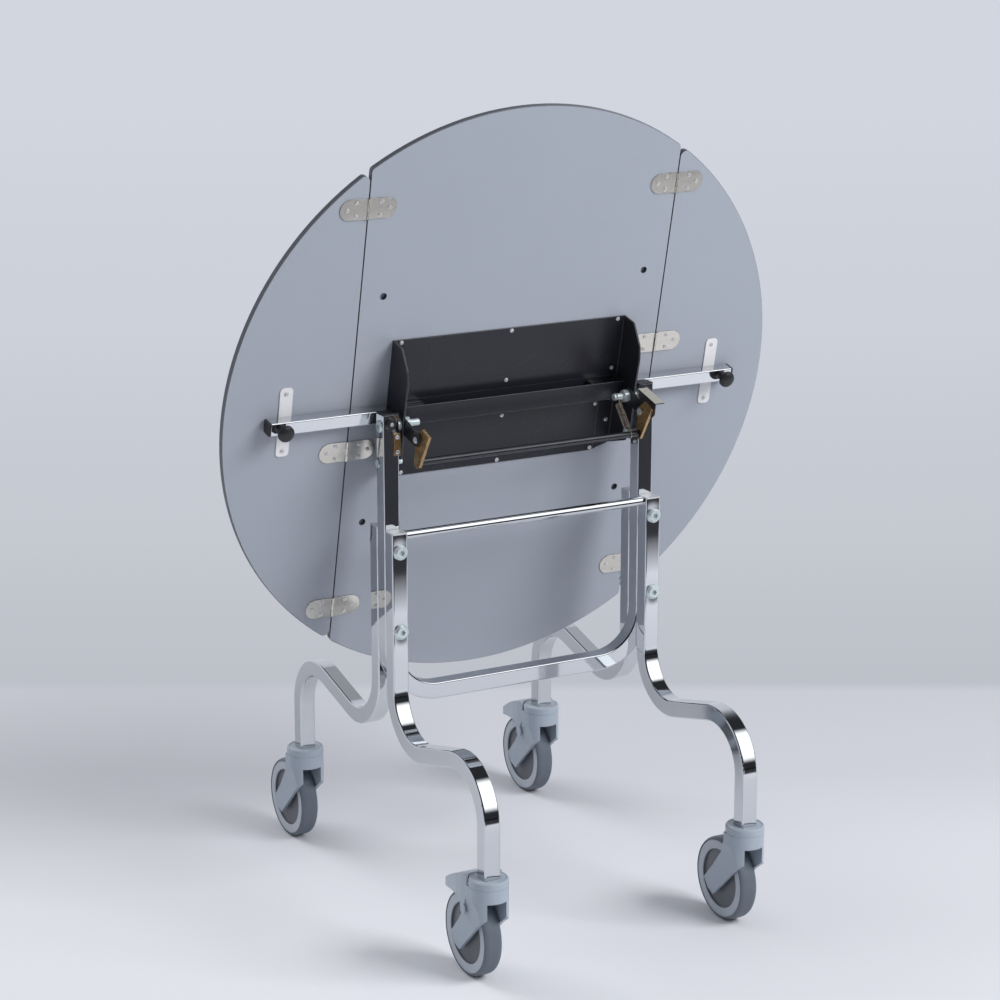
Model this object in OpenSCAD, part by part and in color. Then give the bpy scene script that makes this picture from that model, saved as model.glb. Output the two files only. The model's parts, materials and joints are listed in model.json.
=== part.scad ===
// Folding room service table: a round top with two drop leaves, tilted up on a chromed tube frame with four casters.
// X runs left to right, Y runs from the user to the back, Z is up. The origin is on the floor in the middle.

/* [Top] */
// Diameter of the round top
top_d = 900; // [800:10:1000]
// Thickness of the top panels
top_t = 10; // [8:0.5:16]
// Distance of each leaf seam from the middle
seam_x = 251.5; // [248:0.5:270]
// Gap between the middle panel and a leaf
seam_gap = 2; // [1:0.5:4]
// Radius of the panel corners at the seams
seam_corner_r = 9; // [4:1:14]
// Lean of the stored top from the vertical, in degrees
lean = 12.75; // [8:0.25:16]
// Diameter of the blind fixing holes in the middle panel
insert_d = 10.5; // [6:0.5:12]
// Sideways distance of those holes from the middle
insert_x = 215; // [205:1:220]
// Their distance above and below the middle
insert_v = 180; // [150:1:200]

/* [Frame] */
// Width of the square frame tube
tube_w = 25; // [24:0.5:26]
// Wall of the square frame tube
tube_wall = 1.5; // [1:0.25:2.5]
// Height of the two uprights above the floor
upright_h = 764; // [760:0.5:764]
// Distance of the frame tubes from the middle, tube centre
frame_x = 212.5; // [210:0.5:216]
// Centre radius of every tube bend
bend_r = 75; // [65:1:80]
// Height of the cross tube at the foot of the upright frame, tube centre
cross_z = 336.5; // [330:0.5:350]
// Height of the top end of the legs
leg_top_z = 593; // [585:1:610]
// Rise of the leg between its two bends, in degrees
leg_rise = 14.5; // [10:0.5:18]
// Height of the centre of the upper leg bend
leg_bend_z = 356; // [350:1:365]
// Distance of the caster axes from the middle, front to back
caster_y = 306; // [296:1:316]
// Height of the upper frame bolts
bolt_z = 565; // [555:1:570]
// Height between the upper and the lower frame bolts
bolt_pitch = 120; // [100:1:130]
// Diameter of the frame bolts
bolt_d = 10; // [8:0.5:10]
// Diameter of the round crossbar between the front legs
crossbar_d = 14; // [12:1:18]

/* [Pivot and latch] */
// Distance of the tilt pivot below the top of the uprights
pivot_below = 19; // [18:0.25:20]
// Distance from the underside of the top to the pivot
pivot_drop = 45; // [45:0.25:47]
// Height of the pivot above the middle of the stored top, along the top
pivot_v = -2; // [-4:0.5:0]
// Diameter of the pivot bolts
pivot_d = 10; // [8:0.5:11]
// Distance of the outer faces of the tray cheeks from the middle
cheek_x = 193.4; // [192:0.2:194]
// Thickness of the folded tray sheet
sheet_t = 2.5; // [2:0.25:3]
// Diameter of the stop studs on the uprights
stud_d = 8; // [6:0.5:9]
// Distance of the stop studs below the pivot
stud_drop = 57; // [56:0.5:60]
// Distance of the stop studs behind the pivot
stud_back = 7.5; // [6:0.5:8]
// Tilt from the stored pose until the top is level, in degrees
tilt_full = 77.25; // [70:0.25:82]
// Diameter of the release rod between the latch hooks
rod_d = 10; // [8:0.5:10]
// Turns of the latch spring
spring_turns = 17; // [12:1:20]
// Wire of the latch spring
spring_wire = 1.2; // [0.8:0.1:1.4]

/* [Support bars] */
// Width of the square support bars
bar_w = 20; // [18:0.5:20]
// Distance of the outer end of a pulled out bar from the middle
bar_out = 384; // [375:1:390]
// Distance of the inner end of a pulled out bar from the middle
bar_in = 141; // [140:1:150]
// Distance of the knobs from the outer end of their bar
knob_in = 16; // [14:1:20]
// Diameter of the knobs
knob_d = 25; // [22:1:28]

/* [Casters] */
// Diameter of the wheels
wheel_d = 125; // [122:0.5:126]
// Width of the tyre
tyre_w = 28; // [24:1:29]
// Distance of the wheel axle behind the swivel axis
trail = 46; // [42:1:48]
// Diameter of the caster housings
housing_d = 57; // [55:0.5:58]
// Thickness of the brake pedal walls
pedal_t = 2.5; // [2:0.25:3]

/* [Hidden] */
$fn = 64;

// Clearances
slip = 0.3;     // between faces that slide or turn past each other
run = 0.05;     // radial, of a shaft in the bore it turns in
loose = 0.2;    // radial, of a bolt or screw in the hole it passes
plug_gap = 0.1; // of a plug in its tube
cut = 1;        // how far a cutter stands past the face it cuts
wide = 200;     // reach of a cutter that passes right through a piece
weld = 1;       // how far the slanting straight of a leg runs into the bends at its ends
tuck = 0.02;    // how far a face sits inside the one it runs into

// Frame
tube_corner = 2.5;
tube_in = tube_w - 2 * tube_wall;
cap_t = 2;
pivot_z = upright_h - pivot_below;
upright_in = frame_x - tube_w / 2;
upright_out = frame_x + tube_w / 2;
stack_y = tube_w;
leg_bend_y = stack_y + bend_r;
foot_bend_y = caster_y - bend_r;
// the straight between the two leg bends rises outwards, which sets the height of the outer bend
leg_run = foot_bend_y - leg_bend_y - 2 * bend_r * sin(leg_rise);
foot_bend_z = leg_bend_z - 2 * bend_r * cos(leg_rise) + leg_run * tan(leg_rise);
crossbar_z = leg_top_z - crossbar_d / 2;
bolt_heights = [bolt_z, bolt_z - bolt_pitch];
collar_top_z = 162;
collar_z = 151;
housing_z = 131;
housing_top_z = collar_z - slip;
tube_foot_z = 155;
pivot_head_d = 18;
stem_d = 12;
stem_foot_z = 134;
axle_z = wheel_d / 2;
axle_d = 10;
stop_y = stud_back + stud_d / 2 + slip;
stud_r = norm([stud_back, stud_drop]);
stud_angle = atan2(-stud_drop, stud_back);
stud_tip = 187;
buffer_z = pivot_z + 4.6;
buffer_d = 17;
buffer_h = 5.5;
keeper_x = 204.5;

// Top, seen from its underside: x sideways, y up the stored top, z out of the underside
plate_t = 2;
channel_t = 1.5;
tray_v = 109.5;
channel_top = 13.5;
channel_foot = -14.5;
channel_drop = 26;
foot_in = 165;
corner_chamfer = 1.4;
bar_back = 1.8;
bar_wall = 1.5;
bar_cap = 3;
knob_x = bar_out - knob_in;
strip_x = 355;
strip_w = 20;
strip_l = 108;
strip_t = 1.5;
hinge_w = 88;
hinge_h = 31;
hinge_t = 1.5;
barrel_d = 4;
hinge_pin_d = 2;
// the middle hinges of the two leaves are set apart from each other
left_hinges = [316, -59, -316];
right_hinges = [316, 60, -316];
hinge_screw_spots = [[19, 10], [19, -10], [33, 0]];
upper_screws = [[-180, 105.5], [0, 105.5], [180, 105.5], [-180, 26], [0, 26], [180, 26]];
lower_screws = [[-160, -31.5], [0, -31.5], [160, -31.5], [-160, -105], [0, -105], [160, -105]];
foot_screws = [[182, -24], [182, -60], [182, -94], [-182, -24], [-182, -60], [-182, -94]];
screw_d = 3;
screw_l = top_t - 2;
insert_l = top_t - 3;
keeper_t = 2.5;
keeper_z = [pivot_z - 42, pivot_z - 10];
keeper_screw_z = [keeper_z[0] + 5, keeper_z[1] - 5];
strip_screw_v = [strip_l / 2 - 9, -strip_l / 2 + 9];
knuckle = hinge_h / 3;
end_knuckles = [[-hinge_h / 2, knuckle - slip], [knuckle / 2 + slip, knuckle - slip]];
mid_knuckle = [[-knuckle / 2, knuckle]];

// Latch, in the plane that the top tilts in: first the distance behind the pivot, then the height above it
hook_pin = [-46, -14.4];
hook_pin_d = 6;
rod_pin = [-41.5, -48.5];
arm_t = 3;
cheek_in = cheek_x - sheet_t;
arm_in = cheek_in - arm_t;
hook_t = 4;
hook_out = arm_in - 2;
hook_in = hook_out - hook_t;
paddle_t = 1.7;
spring_x = 167;
spring_r = 4.6;

chrome = [0.80, 0.83, 0.86];
zinc = [0.82, 0.85, 0.88];
nickel = [0.80, 0.79, 0.75];
brass = [0.72, 0.55, 0.33];
black = [0.13, 0.13, 0.15];
laminate = [0.62, 0.64, 0.68];
moulding = [0.60, 0.66, 0.70];
rubber = [0.37, 0.40, 0.44];

// ---- shared shapes ----

module both_sides() {
  children();
  mirror([1, 0, 0])
    children();
}

// the stored top's own frame, with its origin on the underside in the middle
module on_top() {
  translate([0, 0, pivot_z])
    rotate([90 + lean, 0, 0])
      translate([0, -pivot_v, -pivot_drop])
        children();
}

// a plate drawn in the Y-Z plane, from x0 outwards
module side_plate(x0, t) {
  translate([x0, 0, 0])
    rotate([90, 0, 90])
      linear_extrude(t)
        children();
}

// a round bar along X, from x0 outwards
module x_rod(x0, l, d) {
  translate([x0, 0, 0])
    rotate([0, 90, 0])
      cylinder(h = l, d = d);
}

// a round bar along Y, from y0 backwards
module y_rod(y0, l, d) {
  translate([0, y0, 0])
    rotate([-90, 0, 0])
      cylinder(h = l, d = d);
}

module rounded_square(w, h, r) {
  square([w - 2 * r, h], center = true);
  square([w, h - 2 * r], center = true);
  for (x = [-1, 1])
    for (y = [-1, 1])
      translate([x * (w / 2 - r), y * (h / 2 - r)])
        circle(r);
}

module tube_section(w, wall, r) {
  difference() {
    rounded_square(w, w, r);
    rounded_square(w - 2 * wall, w - 2 * wall, r - wall);
  }
}

// straight tube along +Z
module tube(l) {
  linear_extrude(l)
    tube_section(tube_w, tube_wall, tube_corner);
}

// bent tube about X, from angle a0 in the Y-Z plane through a
module tube_bend(a0, a) {
  rotate([90, 0, 90])
    rotate([0, 0, a0])
      rotate_extrude(angle = a, $fn = 96)
        translate([bend_r, 0])
          tube_section(tube_w, tube_wall, tube_corner);
}

// hexagon socket head with its underside at z = 0, standing up
module bolt_head(d, h, key) {
  difference() {
    union() {
      cylinder(h = h * 0.45, d = d);
      translate([0, 0, h * 0.45])
        cylinder(h = h * 0.55, d1 = d, d2 = d * 0.72);
    }
    translate([0, 0, h * 0.35])
      cylinder(h = h, d = key, $fn = 6);
  }
}

module nut(af, h, bore) {
  difference() {
    intersection() {
      cylinder(h = h, d = af / cos(30), $fn = 6);
      cylinder(h = h, d = af * 1.1);
    }
    translate([0, 0, -cut])
      cylinder(h = h + 2 * cut, d = bore);
  }
}

// wood screw: low head on z = 0 with a cross slot, shank down
module screw(head_d, head_h) {
  difference() {
    union() {
      cylinder(h = head_h * 0.5, d = head_d, $fn = 32);
      translate([0, 0, head_h * 0.5])
        cylinder(h = head_h * 0.5, d1 = head_d, d2 = head_d * 0.6, $fn = 32);
      translate([0, 0, -screw_l])
        cylinder(h = screw_l, d = screw_d, $fn = 24);
    }
    for (a = [0, 90])
      rotate([0, 0, a])
        translate([-head_d * 0.3, -0.35, head_h * 0.4])
          cube([head_d * 0.6, 0.7, head_h]);
  }
}

module screw_hole(z, depth) {
  translate([0, 0, z - depth])
    cylinder(h = depth + cut, d = screw_d + 2 * loose, $fn = 24);
}

// ---- frame ----

module u_frame() {
  color(chrome)
    difference() {
      union() {
        both_sides() {
          translate([frame_x, 0, cross_z + bend_r])
            tube(upright_h - cap_t - cross_z - bend_r);
          translate([frame_x - bend_r, 0, cross_z + bend_r])
            rotate([0, 0, -90])
              tube_bend(270, 90);
        }
        translate([-(frame_x - bend_r), 0, cross_z])
          rotate([0, 90, 0])
            tube(2 * (frame_x - bend_r));
      }
      both_sides()
        translate([frame_x, 0, 0])
          frame_holes();
      both_sides()
        translate([0, 0, pivot_z])
          x_rod(upright_in - cut, tube_w + 2 * cut, pivot_d + 2 * loose);
      both_sides()
        translate([0, stud_back, pivot_z - stud_drop])
          x_rod(upright_in - cut, tube_w + 2 * cut, stud_d + 2 * run);
      both_sides() {
        translate([frame_x + 1, -tube_w / 2 - cut, buffer_z])
          y_rod(0, tube_wall + 2 * cut, screw_d + 2 * loose);
        for (z = keeper_screw_z)
          translate([keeper_x, -tube_w / 2 - cut, z])
            y_rod(0, tube_wall + 2 * cut, screw_d + 2 * loose);
      }
    }
}

module frame_holes() {
  for (z = bolt_heights)
    translate([0, 0, z])
      y_rod(-2 * tube_w, 4 * tube_w, bolt_d + 2 * loose);
}

// back right leg; the others are its mirror images
module bent_leg() {
  difference() {
    translate([frame_x, 0, 0]) {
      translate([0, caster_y, foot_bend_z])
        mirror([0, 0, 1])
          tube(foot_bend_z - tube_foot_z);
      translate([0, foot_bend_y, foot_bend_z])
        tube_bend(0, 90 + leg_rise);
      translate([0, leg_bend_y + bend_r * sin(leg_rise), leg_bend_z - bend_r * cos(leg_rise)])
        rotate([-90 + leg_rise, 0, 0])
          translate([0, 0, -weld])
            linear_extrude(leg_run / cos(leg_rise) + 2 * weld)
              tube_section(tube_w - 2 * tuck, tube_wall - 2 * tuck, tube_corner - tuck);
      translate([0, leg_bend_y, leg_bend_z])
        tube_bend(180, 90 + leg_rise);
      translate([0, stack_y, leg_bend_z])
        tube(leg_top_z - cap_t - leg_bend_z);
    }
    translate([frame_x, 0, 0])
      frame_holes();
  }
}

module back_leg_right() {
  color(chrome)
    bent_leg();
}

module back_leg_left() {
  color(chrome)
    mirror([1, 0, 0])
      bent_leg();
}

module front_leg_right() {
  color(chrome)
    mirror([0, 1, 0])
      bent_leg();
}

module front_leg_left() {
  color(chrome)
    mirror([0, 1, 0])
      mirror([1, 0, 0])
        bent_leg();
}

module crossbar() {
  color(chrome)
    translate([0, -stack_y, crossbar_z])
      x_rod(-upright_in, 2 * upright_in, crossbar_d);
}

// cap on a tube end, with its spigot down inside
module plug() {
  linear_extrude(cap_t - 0.6)
    rounded_square(tube_w, tube_w, tube_corner);
  translate([0, 0, cap_t - 0.6])
    linear_extrude(0.6)
      rounded_square(tube_w - 1.2, tube_w - 1.2, tube_corner - 0.6);
  translate([0, 0, -8])
    linear_extrude(8)
      rounded_square(tube_in - 2 * plug_gap, tube_in - 2 * plug_gap, tube_corner - tube_wall);
}

module leg_plugs() {
  color(zinc)
    for (y = [-stack_y, stack_y])
      both_sides()
        translate([frame_x, y, leg_top_z - cap_t])
          plug();
}

module upright_plugs() {
  color(black)
    both_sides()
      translate([frame_x, 0, upright_h - cap_t])
        plug();
}

module frame_bolts() {
  color(zinc)
    both_sides()
      for (z = bolt_heights)
        translate([frame_x, 0, z]) {
          y_rod(-1.5 * tube_w, 3 * tube_w + 10, bolt_d);
          translate([0, -1.5 * tube_w, 0])
            rotate([90, 0, 0])
              bolt_head(22, 6, 9);
        }
}

module frame_nuts() {
  color(zinc)
    both_sides() {
      for (z = bolt_heights)
        translate([frame_x, 1.5 * tube_w, z])
          rotate([-90, 0, 0])
            nut(17, 8, bolt_d + 2 * run);
      translate([arm_in - slip - 9, 0, pivot_z])
        rotate([0, 90, 0])
          nut(17, 9, pivot_d + 2 * run);
    }
}

module pivot_bolts() {
  color(zinc)
    both_sides()
      translate([0, 0, pivot_z]) {
        x_rod(spring_x - 4, upright_out - spring_x + 4, pivot_d);
        translate([upright_out, 0, 0])
          rotate([0, 90, 0])
            bolt_head(pivot_head_d, 3, 6);
      }
}

module pivot_bushes() {
  color(zinc)
    both_sides()
      translate([0, 0, pivot_z])
        difference() {
          x_rod(cheek_x + slip, upright_in - cheek_x - slip, pivot_head_d);
          x_rod(cheek_x - cut, upright_in - cheek_x + 2 * cut, pivot_d + 2 * loose);
        }
}

module stop_studs() {
  color(zinc)
    both_sides()
      translate([0, stud_back, pivot_z - stud_drop]) {
        x_rod(stud_tip, upright_out - stud_tip, stud_d);
        x_rod(upright_out, 1.2, stud_d + 4);
      }
}

module buffers() {
  color(black)
    both_sides()
      translate([frame_x + 1, -tube_w / 2, buffer_z])
        rotate([90, 0, 0])
          difference() {
            union() {
              cylinder(h = buffer_h * 0.5, d = buffer_d);
              translate([0, 0, buffer_h * 0.5])
                cylinder(h = buffer_h * 0.5, d1 = buffer_d, d2 = buffer_d - 5);
            }
            translate([0, 0, -cut])
              cylinder(h = buffer_h + 2 * cut, d = screw_d + 2 * loose);
            translate([0, 0, buffer_h - 2])
              cylinder(h = 2 + cut, d = 7);
          }
}

module keeper_plates() {
  color(brass)
    both_sides()
      difference() {
        translate([keeper_x - 5, -tube_w / 2 - keeper_t, keeper_z[0]])
          cube([10, keeper_t, keeper_z[1] - keeper_z[0]]);
        for (z = keeper_screw_z)
          translate([keeper_x, -tube_w / 2 - keeper_t - cut, z])
            y_rod(0, keeper_t + 2 * cut, screw_d + 2 * loose);
      }
}

module upright_screws() {
  color(zinc)
    both_sides() {
      translate([frame_x + 1, -tube_w / 2 - buffer_h + 2, buffer_z])
        rotate([90, 0, 0])
          screw(6.4, 1.6);
      for (z = keeper_screw_z)
        translate([keeper_x, -tube_w / 2 - keeper_t, z])
          rotate([90, 0, 0])
            screw(6.4, 1.6);
    }
}

module collar() {
  difference() {
    rotate_extrude()
      polygon([
        [0, stem_foot_z], [stem_d / 2 - 1, stem_foot_z], [stem_d / 2, stem_foot_z + 1],
        [stem_d / 2, collar_z], [housing_d / 2, collar_z], [housing_d / 2, collar_top_z - 1.6],
        [housing_d / 2 - 1.6, collar_top_z], [housing_d / 2 - 3, collar_top_z],
        [housing_d / 2 - 4, collar_top_z - 0.8], [0, collar_top_z - 0.8]
      ]);
    translate([0, 0, tube_foot_z])
      linear_extrude(20)
        rounded_square(tube_w + 2 * plug_gap, tube_w + 2 * plug_gap, tube_corner);
  }
}

module caster_collars() {
  color(moulding)
    for (y = [-caster_y, caster_y])
      both_sides()
        translate([frame_x, y, 0])
          collar();
}

// ---- top ----

// round board with softened edges, its underside at z = 0
module board() {
  r = top_d / 2;
  rotate_extrude($fn = 180)
    polygon([[0, -top_t], [r - 1, -top_t], [r, 1 - top_t], [r, -1], [r - 1, 0], [0, 0]]);
}

// takes off the corner between a seam at x = s and the rim; dir is +1 where the panel lies inside the seam
module corner_cut(s, dir) {
  k = s - dir * seam_corner_r;
  rim = top_d / 2 - seam_corner_r;
  v = sqrt(rim * rim - k * k);
  far = (top_d / 2 + 20) / rim;
  for (m = [0, 1])
    mirror([0, m, 0])
      translate([0, 0, -top_t - cut])
        linear_extrude(top_t + 2 * cut)
          difference() {
            polygon([[k, v], [k + dir * 60, v], [k + dir * 60, v * far], [k * far, v * far]]);
            translate([k, v])
              circle(seam_corner_r);
          }
}

module panel_screw_holes(spots) {
  for (p = spots)
    translate([p[0], p[1], 0])
      screw_hole(0, screw_l + 0.5);
}

function hinge_spots(s, list, dir) = [
  for (v = list)
    for (p = hinge_screw_spots)
      [s + dir * p[0], v + p[1]]
];

module centre_panel() {
  edge = seam_x - seam_gap / 2;
  color(laminate)
    on_top()
      difference() {
        intersection() {
          board();
          translate([-edge, -top_d, -top_t - cut])
            cube([2 * edge, 2 * top_d, top_t + 2 * cut]);
        }
        both_sides()
          corner_cut(edge, 1);
        for (x = [-insert_x, insert_x])
          for (v = [-insert_v, insert_v])
            translate([x, v, -insert_l])
              cylinder(h = insert_l + cut, d = insert_d);
        panel_screw_holes(upper_screws);
        panel_screw_holes(lower_screws);
        panel_screw_holes(foot_screws);
        panel_screw_holes(hinge_spots(seam_x, right_hinges, -1));
        panel_screw_holes(hinge_spots(-seam_x, left_hinges, 1));
      }
}

// leaf on the right, or its mirror image
module leaf(hinges) {
  edge = seam_x + seam_gap / 2;
  difference() {
    intersection() {
      board();
      translate([edge, -top_d, -top_t - cut])
        cube([top_d, 2 * top_d, top_t + 2 * cut]);
    }
    corner_cut(edge, -1);
    panel_screw_holes(hinge_spots(seam_x, hinges, 1));
    panel_screw_holes([for (y = strip_screw_v) [strip_x, y]]);
  }
}

module right_leaf() {
  color(laminate)
    on_top()
      leaf(right_hinges);
}

module left_leaf() {
  color(laminate)
    on_top()
      mirror([1, 0, 0])
        leaf(left_hinges);
}

// one wing of an oval flap hinge, seam along y at x = 0, wing towards +x
module hinge_wing(knuckles) {
  r = hinge_h / 2;
  difference() {
    linear_extrude(hinge_t)
      intersection() {
        union() {
          translate([hinge_w / 2 - r, 0])
            circle(r);
          translate([0, -r])
            square([hinge_w / 2 - r, hinge_h]);
        }
        translate([barrel_d / 2 + slip, -r])
          square([hinge_w, hinge_h]);
      }
    for (p = hinge_screw_spots)
      translate([p[0], p[1], -cut])
        cylinder(h = hinge_t + 2 * cut, d = screw_d + 2 * loose, $fn = 24);
  }
  for (k = knuckles)
    difference() {
      union() {
        translate([0, k[0], barrel_d / 2])
          rotate([-90, 0, 0])
            cylinder(h = k[1], d = barrel_d, $fn = 32);
        translate([0, k[0], 0])
          cube([barrel_d / 2 + slip + 0.2, k[1], hinge_t]);
      }
      translate([0, k[0] - cut, barrel_d / 2])
        rotate([-90, 0, 0])
          cylinder(h = k[1] + 2 * cut, d = hinge_pin_d + 2 * run, $fn = 32);
    }
}

module at_hinges() {
  for (v = right_hinges)
    translate([seam_x, v, 0])
      children();
  for (v = left_hinges)
    translate([-seam_x, v, 0])
      mirror([1, 0, 0])
        children();
}

module hinge_inner_plates() {
  color(nickel)
    on_top()
      at_hinges()
        mirror([1, 0, 0])
          hinge_wing(end_knuckles);
}

module hinge_outer_plates() {
  color(nickel)
    on_top()
      at_hinges()
        hinge_wing(mid_knuckle);
}

module hinge_pins() {
  color(nickel)
    on_top()
      at_hinges()
        translate([0, -hinge_h / 2, barrel_d / 2])
          rotate([-90, 0, 0])
            cylinder(h = hinge_h, d = hinge_pin_d, $fn = 32);
}

module hinge_screws() {
  color(zinc)
    on_top()
      at_hinges()
        for (m = [0, 1])
          mirror([m, 0, 0])
            for (p = hinge_screw_spots)
              translate([p[0], p[1], hinge_t])
                screw(6, 1.2);
}

module wear_strips() {
  color([0.9, 0.9, 0.88])
    on_top()
      both_sides()
        difference() {
          translate([strip_x, 0, 0])
            linear_extrude(strip_t)
              rounded_square(strip_w, strip_l, 6);
          for (v = strip_screw_v)
            translate([strip_x, v, -cut])
              cylinder(h = strip_t + 2 * cut, d = screw_d + 2 * loose, $fn = 24);
        }
}

module plate_screws() {
  color(zinc)
    on_top() {
      for (p = upper_screws)
        translate([p[0], p[1], plate_t])
          screw(6.4, 1.6);
      for (p = lower_screws)
        translate([p[0], p[1], channel_t])
          screw(6.4, 1.6);
      for (p = foot_screws)
        translate([p[0], p[1], plate_t])
          screw(6.4, 1.6);
      both_sides()
        for (v = strip_screw_v)
          translate([strip_x, v, strip_t])
            screw(6.4, 1.6);
    }
}

// cheek outline, up the top and out of its underside
cheek_outline = [
  [tray_v, 0], [tray_v, 29], [82, 53], [61, 57.5], [20, 56], [-40, 58.6],
  [-66, 57], [-76, 47], [-99, plate_t], [-99, 0]
];

// room in front of the rest stop for the stud, drawn in the tilting plane with the pivot at its origin
module stop_room() {
  difference() {
    translate([-wide, -wide])
      square([wide + stop_y, wide - 10]);
    circle(stud_r - stud_d / 2 - 2 * slip);
  }
}

module top_bracket() {
  color(black)
    difference() {
      on_top() {
        translate([-cheek_in, channel_top, 0])
          cube([2 * cheek_in, tray_v - channel_top, plate_t]);
        both_sides() {
          side_plate(cheek_in, sheet_t)
            difference() {
              polygon(cheek_outline);
              translate([-bar_w / 2 - slip, -cut])
                square([bar_w + 2 * slip, bar_back + bar_w + slip + cut]);
            }
          linear_extrude(plate_t)
            polygon([
              [foot_in, channel_foot], [cheek_in, channel_foot], [cheek_in, -99],
              [foot_in, corner_chamfer - tray_v]
            ]);
        }
      }
      both_sides()
        translate([0, 0, pivot_z]) {
          side_plate(cheek_in - cut, sheet_t + 2 * cut)
            stop_room();
          x_rod(cheek_in - cut, sheet_t + 2 * cut, pivot_d + 2 * run);
        }
      on_top() {
        plate_screw_holes(upper_screws, plate_t);
        plate_screw_holes(foot_screws, plate_t);
      }
    }
}

module plate_screw_holes(spots, t) {
  for (p = spots)
    translate([p[0], p[1], -cut])
      cylinder(h = t + 2 * cut, d = screw_d + 2 * loose, $fn = 24);
}

module channel_plate() {
  inner = foot_in - 0.5;
  color(black)
    on_top()
      difference() {
        union() {
          side_plate(-cheek_in, 2 * cheek_in)
            polygon([
              [channel_top, channel_drop], [channel_top, channel_drop - channel_t],
              [channel_foot + channel_t, channel_drop - channel_t], [channel_foot + channel_t, 0],
              [channel_foot, 0], [channel_foot, channel_drop]
            ]);
          linear_extrude(channel_t)
            polygon([
              [-inner, channel_foot], [-inner, corner_chamfer - tray_v], [3 - inner, -tray_v],
              [inner - 3, -tray_v], [inner, corner_chamfer - tray_v], [inner, channel_foot]
            ]);
        }
        plate_screw_holes(lower_screws, channel_t);
      }
}

// two round ends joined by straight sides
module link(p, r, q, s) {
  d = norm(q - p);
  a = atan2(q[1] - p[1], q[0] - p[0]);
  b = acos((r - s) / d);
  pr = r - tuck;
  qr = s - tuck;
  translate(p)
    circle(r);
  translate(q)
    circle(s);
  polygon([
    p + pr * [cos(a + b), sin(a + b)], q + qr * [cos(a + b), sin(a + b)],
    q + qr * [cos(a - b), sin(a - b)], p + pr * [cos(a - b), sin(a - b)]
  ]);
}

// path of a stop stud past the tilting top, ending in the notch that stops the level top
module stud_path() {
  r = stud_d / 2 + slip;
  end = stud_angle - tilt_full;
  intersection() {
    difference() {
      circle(stud_r + r);
      circle(stud_r - r);
    }
    polygon(concat([[0, 0]], [for (k = [0:4]) 2 * stud_r * [cos(end + k * 20), sin(end + k * 20)]]));
  }
  translate(stud_r * [cos(end), sin(end)])
    circle(r - tuck);
}

module at_pivot() {
  translate([0, 0, pivot_z])
    children();
}

module latch_arms() {
  color(black)
    at_pivot()
      both_sides()
        side_plate(arm_in, arm_t)
          difference() {
            link([0, 0], 12, hook_pin, 10);
            circle(pivot_d / 2 + run);
            translate(hook_pin)
              circle(hook_pin_d / 2 + run);
            stud_path();
          }
}

// headed pin through each arm and hook
module hook_bolts() {
  color(zinc)
    at_pivot()
      both_sides()
        translate([0, hook_pin[0], hook_pin[1]]) {
          x_rod(hook_in - 2.5, arm_in + arm_t - hook_in + 2.5, hook_pin_d);
          x_rod(hook_in - 2.5, 2.5 - slip, 10);
          x_rod(arm_in + arm_t, 1, 10);
          x_rod(arm_in + arm_t + 1, 1, 8);
        }
}

module bar_guides() {
  color(black)
    on_top()
      both_sides()
        side_plate(cheek_in - 5, 5)
          difference() {
            translate([channel_foot + channel_t, 0.2])
              square([channel_top - channel_foot - channel_t, channel_drop - channel_t - 0.2]);
            translate([-bar_w / 2 - slip, bar_back - slip])
              square(bar_w + 2 * slip);
          }
}

// ---- support bars, pulled out ----

module bar() {
  difference() {
    translate([bar_in, 0, bar_back + bar_w / 2])
      rotate([0, 90, 0])
        linear_extrude(bar_out - bar_in)
          tube_section(bar_w, bar_wall, 2);
    translate([knob_x, 0, bar_back + bar_w / 2])
      cylinder(h = bar_w, d = 6 + 2 * run);
  }
}

module right_bar() {
  color(chrome)
    on_top()
      bar();
}

module left_bar() {
  color(chrome)
    on_top()
      mirror([1, 0, 0])
        bar();
}

module bar_caps() {
  in = bar_w - 2 * bar_wall - 2 * plug_gap;
  translate([0, 0, bar_back + bar_w / 2])
    rotate([0, 90, 0]) {
      translate([0, 0, bar_out])
        linear_extrude(bar_cap)
          rounded_square(bar_w, bar_w, 2);
      translate([0, 0, bar_out - 10])
        linear_extrude(10)
          rounded_square(in, in, 0.5);
      translate([0, 0, bar_in - 2])
        linear_extrude(2)
          rounded_square(bar_w, bar_w, 2);
      translate([0, 0, bar_in])
        linear_extrude(10)
          rounded_square(in, in, 0.5);
    }
}

module right_bar_caps() {
  color(black)
    on_top()
      bar_caps();
}

module left_bar_caps() {
  color(black)
    on_top()
      mirror([1, 0, 0])
        bar_caps();
}

module knob() {
  r = knob_d / 2;
  translate([knob_x, 0, bar_back + bar_w])
    rotate_extrude()
      polygon(concat(
        [[0, -8], [3, -8], [3, 0], [7, 0], [5.5, 3], [5.5, 7], [8, 10.5], [r - 1.5, 11.6], [r, 13.2], [r, 15.5]],
        [for (a = [15:15:90]) [r * cos(a), 15.5 + 5.8 * sin(a)]]
      ));
}

module right_knob() {
  color(black)
    on_top()
      knob();
}

module left_knob() {
  color(black)
    on_top()
      mirror([1, 0, 0])
        knob();
}

// ---- latch ----

// strip of thickness t to the right of the line from p to q
module edge_strip(p, q, t) {
  u = (q - p) / norm(q - p);
  n = t * [u[1], -u[0]];
  polygon([p, q, q + n, p + n]);
}

hook_outline = [
  [-57.5, 3], [-78, -5], [-46.5, -56], [-38, -58.5], [-30, -55], [-33.6, -31.3], [-33.5, -12]
];

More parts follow.
